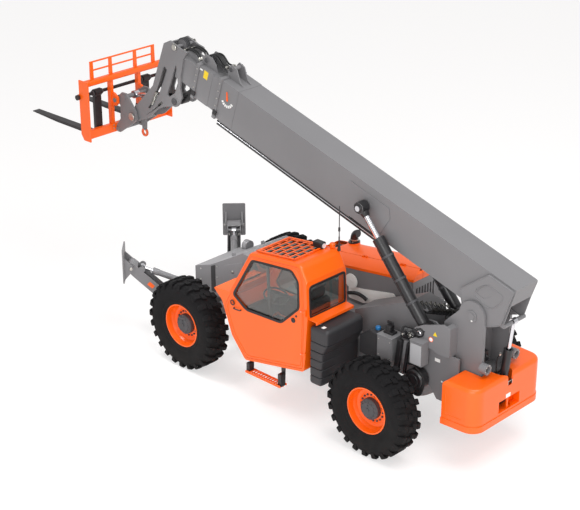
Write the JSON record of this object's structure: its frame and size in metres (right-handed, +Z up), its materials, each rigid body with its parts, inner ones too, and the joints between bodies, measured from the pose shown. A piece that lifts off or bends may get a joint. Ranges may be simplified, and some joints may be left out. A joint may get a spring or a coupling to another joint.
{
  "type": "telehandler",
  "caption": "Rough-terrain telehandler with a telescoping boom, fork carriage, side cab, steered wheels and front outriggers.",
  "frame": {"origin": "on the ground under the middle of the whole machine, forks and boom tail included", "axes": "+X forward, towards the forks; +Y to the machine's left, the cab's side; +Z up"},
  "size_m": [9.188, 2.564, 4.445],
  "materials": {
    "orange_paint": "satin orange machine enamel",
    "grey_paint": "satin grey machine enamel",
    "black_paint": "satin black enamel",
    "rim_paint": "satin orange enamel over steel rims",
    "tyre": "black tyre rubber",
    "glass": "tinted safety glass",
    "black_plastic": "moulded black plastic",
    "chrome_rod": "hard chromed rod",
    "cast_steel": "bare cast steel"
  },
  "bodies": {
    "chassis": {"frame": "grey_paint", "front_housing": "grey_paint", "tower": "grey_paint", "counterweight": "orange_paint", "axle_front": "grey_paint", "axle_rear": "grey_paint", "cab_shell": "orange_paint", "roof_guard": "orange_paint", "cab_glass": "glass", "cab_interior": "black_plastic", "cab_steps": "orange_paint", "tank": "black_plastic", "pod_panels": "grey_paint", "engine": "cast_steel", "hood_cowl": "orange_paint"},
    "door": {"cab_door": "orange_paint", "door_glass": "glass"},
    "hood": {"hood": "orange_paint", "exhaust": "black_paint"},
    "boom_outer": {"boom_outer": "grey_paint"},
    "boom_second": {"boom_second": "grey_paint"},
    "boom_third": {"boom_third": "grey_paint", "boom_head": "grey_paint"},
    "lift_barrels": {"lift_barrels": "black_paint"},
    "lift_rods": {"lift_rods": "chrome_rod"},
    "level_barrel": {"level_barrel": "black_paint"},
    "level_rod": {"level_rod": "chrome_rod"},
    "tilt_barrel": {"tilt_barrel": "black_paint"},
    "tilt_rod": {"tilt_rod": "chrome_rod"},
    "carriage": {"coupler": "grey_paint", "carriage": "orange_paint", "forks": "black_paint"},
    "knuckle_fl": {"knuckle_fl": "grey_paint"},
    "wheel_fl": {"tyre_fl": "tyre", "rim_fl": "rim_paint"},
    "knuckle_fr": {"knuckle_fr": "grey_paint"},
    "wheel_fr": {"tyre_fr": "tyre", "rim_fr": "rim_paint"},
    "knuckle_rl": {"knuckle_rl": "grey_paint"},
    "wheel_rl": {"tyre_rl": "tyre", "rim_rl": "rim_paint"},
    "knuckle_rr": {"knuckle_rr": "grey_paint"},
    "wheel_rr": {"tyre_rr": "tyre", "rim_rr": "rim_paint"},
    "outrigger_arm_left": {"outrigger_arm_left": "grey_paint"},
    "outrigger_pad_left": {"outrigger_pad_left": "grey_paint"},
    "stay_barrel_left": {"stay_barrel_left": "grey_paint"},
    "stay_rod_left": {"stay_rod_left": "chrome_rod"},
    "outrigger_arm_right": {"outrigger_arm_right": "grey_paint"},
    "outrigger_pad_right": {"outrigger_pad_right": "grey_paint"},
    "stay_barrel_right": {"stay_barrel_right": "grey_paint"},
    "stay_rod_right": {"stay_rod_right": "chrome_rod"}
  },
  "joints": [
    {"name": "steer_fl", "type": "hinge", "parent": "chassis", "child": "knuckle_fl", "pos_m": [0.453, 0.9, 0.675], "axis": [0, 0, 1], "range_deg": [-30, 30]},
    {"name": "wheel_fl", "type": "hinge", "parent": "knuckle_fl", "child": "wheel_fl", "pos_m": [0.453, 1.0945, 0.675], "axis": [0, 1, 0], "continuous": true},
    {"name": "steer_fr", "type": "hinge", "parent": "chassis", "child": "knuckle_fr", "pos_m": [0.453, -0.9, 0.675], "axis": [0, 0, 1], "range_deg": [-30, 30]},
    {"name": "wheel_fr", "type": "hinge", "parent": "knuckle_fr", "child": "wheel_fr", "pos_m": [0.453, -1.0945, 0.675], "axis": [0, 1, 0], "continuous": true},
    {"name": "steer_rl", "type": "hinge", "parent": "chassis", "child": "knuckle_rl", "pos_m": [-3.083, 0.9, 0.675], "axis": [0, 0, 1], "range_deg": [-30, 30]},
    {"name": "wheel_rl", "type": "hinge", "parent": "knuckle_rl", "child": "wheel_rl", "pos_m": [-3.083, 1.0945, 0.675], "axis": [0, 1, 0], "continuous": true},
    {"name": "steer_rr", "type": "hinge", "parent": "chassis", "child": "knuckle_rr", "pos_m": [-3.083, -0.9, 0.675], "axis": [0, 0, 1], "range_deg": [-30, 30]},
    {"name": "wheel_rr", "type": "hinge", "parent": "knuckle_rr", "child": "wheel_rr", "pos_m": [-3.083, -1.0945, 0.675], "axis": [0, 1, 0], "continuous": true},
    {"name": "door_hinge", "type": "hinge", "parent": "chassis", "child": "door", "pos_m": [-1.97, 1.215, 1.5], "axis": [0, 0, 1], "range_deg": [0, 95]},
    {"name": "hood_hinge", "type": "hinge", "parent": "chassis", "child": "hood", "pos_m": [-2.015, -0.664, 1.808], "axis": [-0.9915, 0, 0.1303], "range_deg": [0, 60]},
    {"name": "boom_lift", "type": "hinge", "parent": "chassis", "child": "boom_outer", "pos_m": [-3.995, 0, 2.02], "axis": [0, -1, 0], "range_deg": [-20.8, 53.2]},
    {"name": "boom_extend", "type": "slide", "parent": "boom_outer", "child": "boom_second", "axis": [0.9572, 0, 0.2894], "range_m": [0, 4.4]},
    {"name": "boom_third_extend", "type": "slide", "parent": "boom_second", "child": "boom_third", "axis": [0.9572, 0, 0.2894], "range_m": [0, 4.4]},
    {"name": "lift_barrel_swing", "type": "hinge", "parent": "chassis", "child": "lift_barrels", "pos_m": [-3.315, 0, 1.61], "axis": [0, -1, 0], "range_deg": [-20.5, 51]},
    {"name": "lift_rod_stroke", "type": "slide", "parent": "lift_barrels", "child": "lift_rods", "axis": [0.6421, 0, 0.7666], "range_m": [-0.28, 0.7]},
    {"name": "level_barrel_swing", "type": "hinge", "parent": "chassis", "child": "level_barrel", "pos_m": [-4.285, 0, 0.82], "axis": [0, -1, 0], "range_deg": [-5.5, 2.5]},
    {"name": "level_rod_stroke", "type": "slide", "parent": "level_barrel", "child": "level_rod", "axis": [-0.123, 0, 0.9924], "range_m": [-0.37, 0.15]},
    {"name": "fork_tilt", "type": "hinge", "parent": "boom_third", "child": "carriage", "pos_m": [2.53, 0, 3.1], "axis": [0, -1, 0], "range_deg": [-60, 30]},
    {"name": "tilt_barrel_swing", "type": "hinge", "parent": "boom_third", "child": "tilt_barrel", "pos_m": [1.62, 0, 3.535], "axis": [0, -1, 0], "range_deg": [-9.5, 5]},
    {"name": "tilt_rod_stroke", "type": "slide", "parent": "tilt_barrel", "child": "tilt_rod", "axis": [0.9872, 0, -0.1592], "range_m": [-0.13, 0.26]},
    {"name": "outrigger_left", "type": "hinge", "parent": "chassis", "child": "outrigger_arm_left", "pos_m": [1.1818, 0.5268, 0.43], "axis": [-0.7071, 0.7071, 0], "range_deg": [0, 63.5]},
    {"name": "outrigger_pad_left", "type": "hinge", "parent": "outrigger_arm_left", "child": "outrigger_pad_left", "pos_m": [1.7142, 1.0592, 1.179], "axis": [-0.7071, 0.7071, 0], "range_deg": [0, 26.5]},
    {"name": "stay_barrel_swing_left", "type": "hinge", "parent": "chassis", "child": "stay_barrel_left", "pos_m": [0.9732, 0.3182, 0.78], "axis": [-0.7071, 0.7071, 0], "range_deg": [0, 47.6]},
    {"name": "stay_rod_stroke_left", "type": "slide", "parent": "stay_barrel_left", "child": "stay_rod_left", "axis": [0.6533, 0.6533, 0.3826], "range_m": [0, 0.37]},
    {"name": "outrigger_right", "type": "hinge", "parent": "chassis", "child": "outrigger_arm_right", "pos_m": [1.1818, -0.5268, 0.43], "axis": [0.7071, 0.7071, 0], "range_deg": [0, 63.5]},
    {"name": "outrigger_pad_right", "type": "hinge", "parent": "outrigger_arm_right", "child": "outrigger_pad_right", "pos_m": [1.7142, -1.0592, 1.179], "axis": [0.7071, 0.7071, 0], "range_deg": [0, 26.5]},
    {"name": "stay_barrel_swing_right", "type": "hinge", "parent": "chassis", "child": "stay_barrel_right", "pos_m": [0.9732, -0.3182, 0.78], "axis": [0.7071, 0.7071, 0], "range_deg": [0, 47.6]},
    {"name": "stay_rod_stroke_right", "type": "slide", "parent": "stay_barrel_right", "child": "stay_rod_right", "axis": [0.6533, -0.6533, 0.3826], "range_m": [0, 0.37]}
  ],
  "couplings": [
    {"joint": "steer_fr", "follows": "steer_fl", "ratio": 1},
    {"joint": "steer_rr", "follows": "steer_rl", "ratio": 1},
    {"joint": "boom_third_extend", "follows": "boom_extend", "ratio": 1},
    {"joint": "lift_barrel_swing", "follows": "boom_lift", "ratio": 0.95},
    {"joint": "lift_rod_stroke", "follows": "boom_lift", "m_per_rad": 0.739},
    {"joint": "level_barrel_swing", "follows": "boom_lift", "ratio": -0.1},
    {"joint": "level_rod_stroke", "follows": "boom_lift", "m_per_rad": -0.385},
    {"joint": "tilt_barrel_swing", "follows": "fork_tilt", "ratio": 0.15},
    {"joint": "tilt_rod_stroke", "follows": "fork_tilt", "m_per_rad": -0.24},
    {"joint": "stay_barrel_swing_left", "follows": "outrigger_left", "ratio": 0.748},
    {"joint": "stay_rod_stroke_left", "follows": "outrigger_left", "m_per_rad": 0.33},
    {"joint": "stay_barrel_swing_right", "follows": "outrigger_right", "ratio": 0.748},
    {"joint": "stay_rod_stroke_right", "follows": "outrigger_right", "m_per_rad": 0.33}
  ]
}
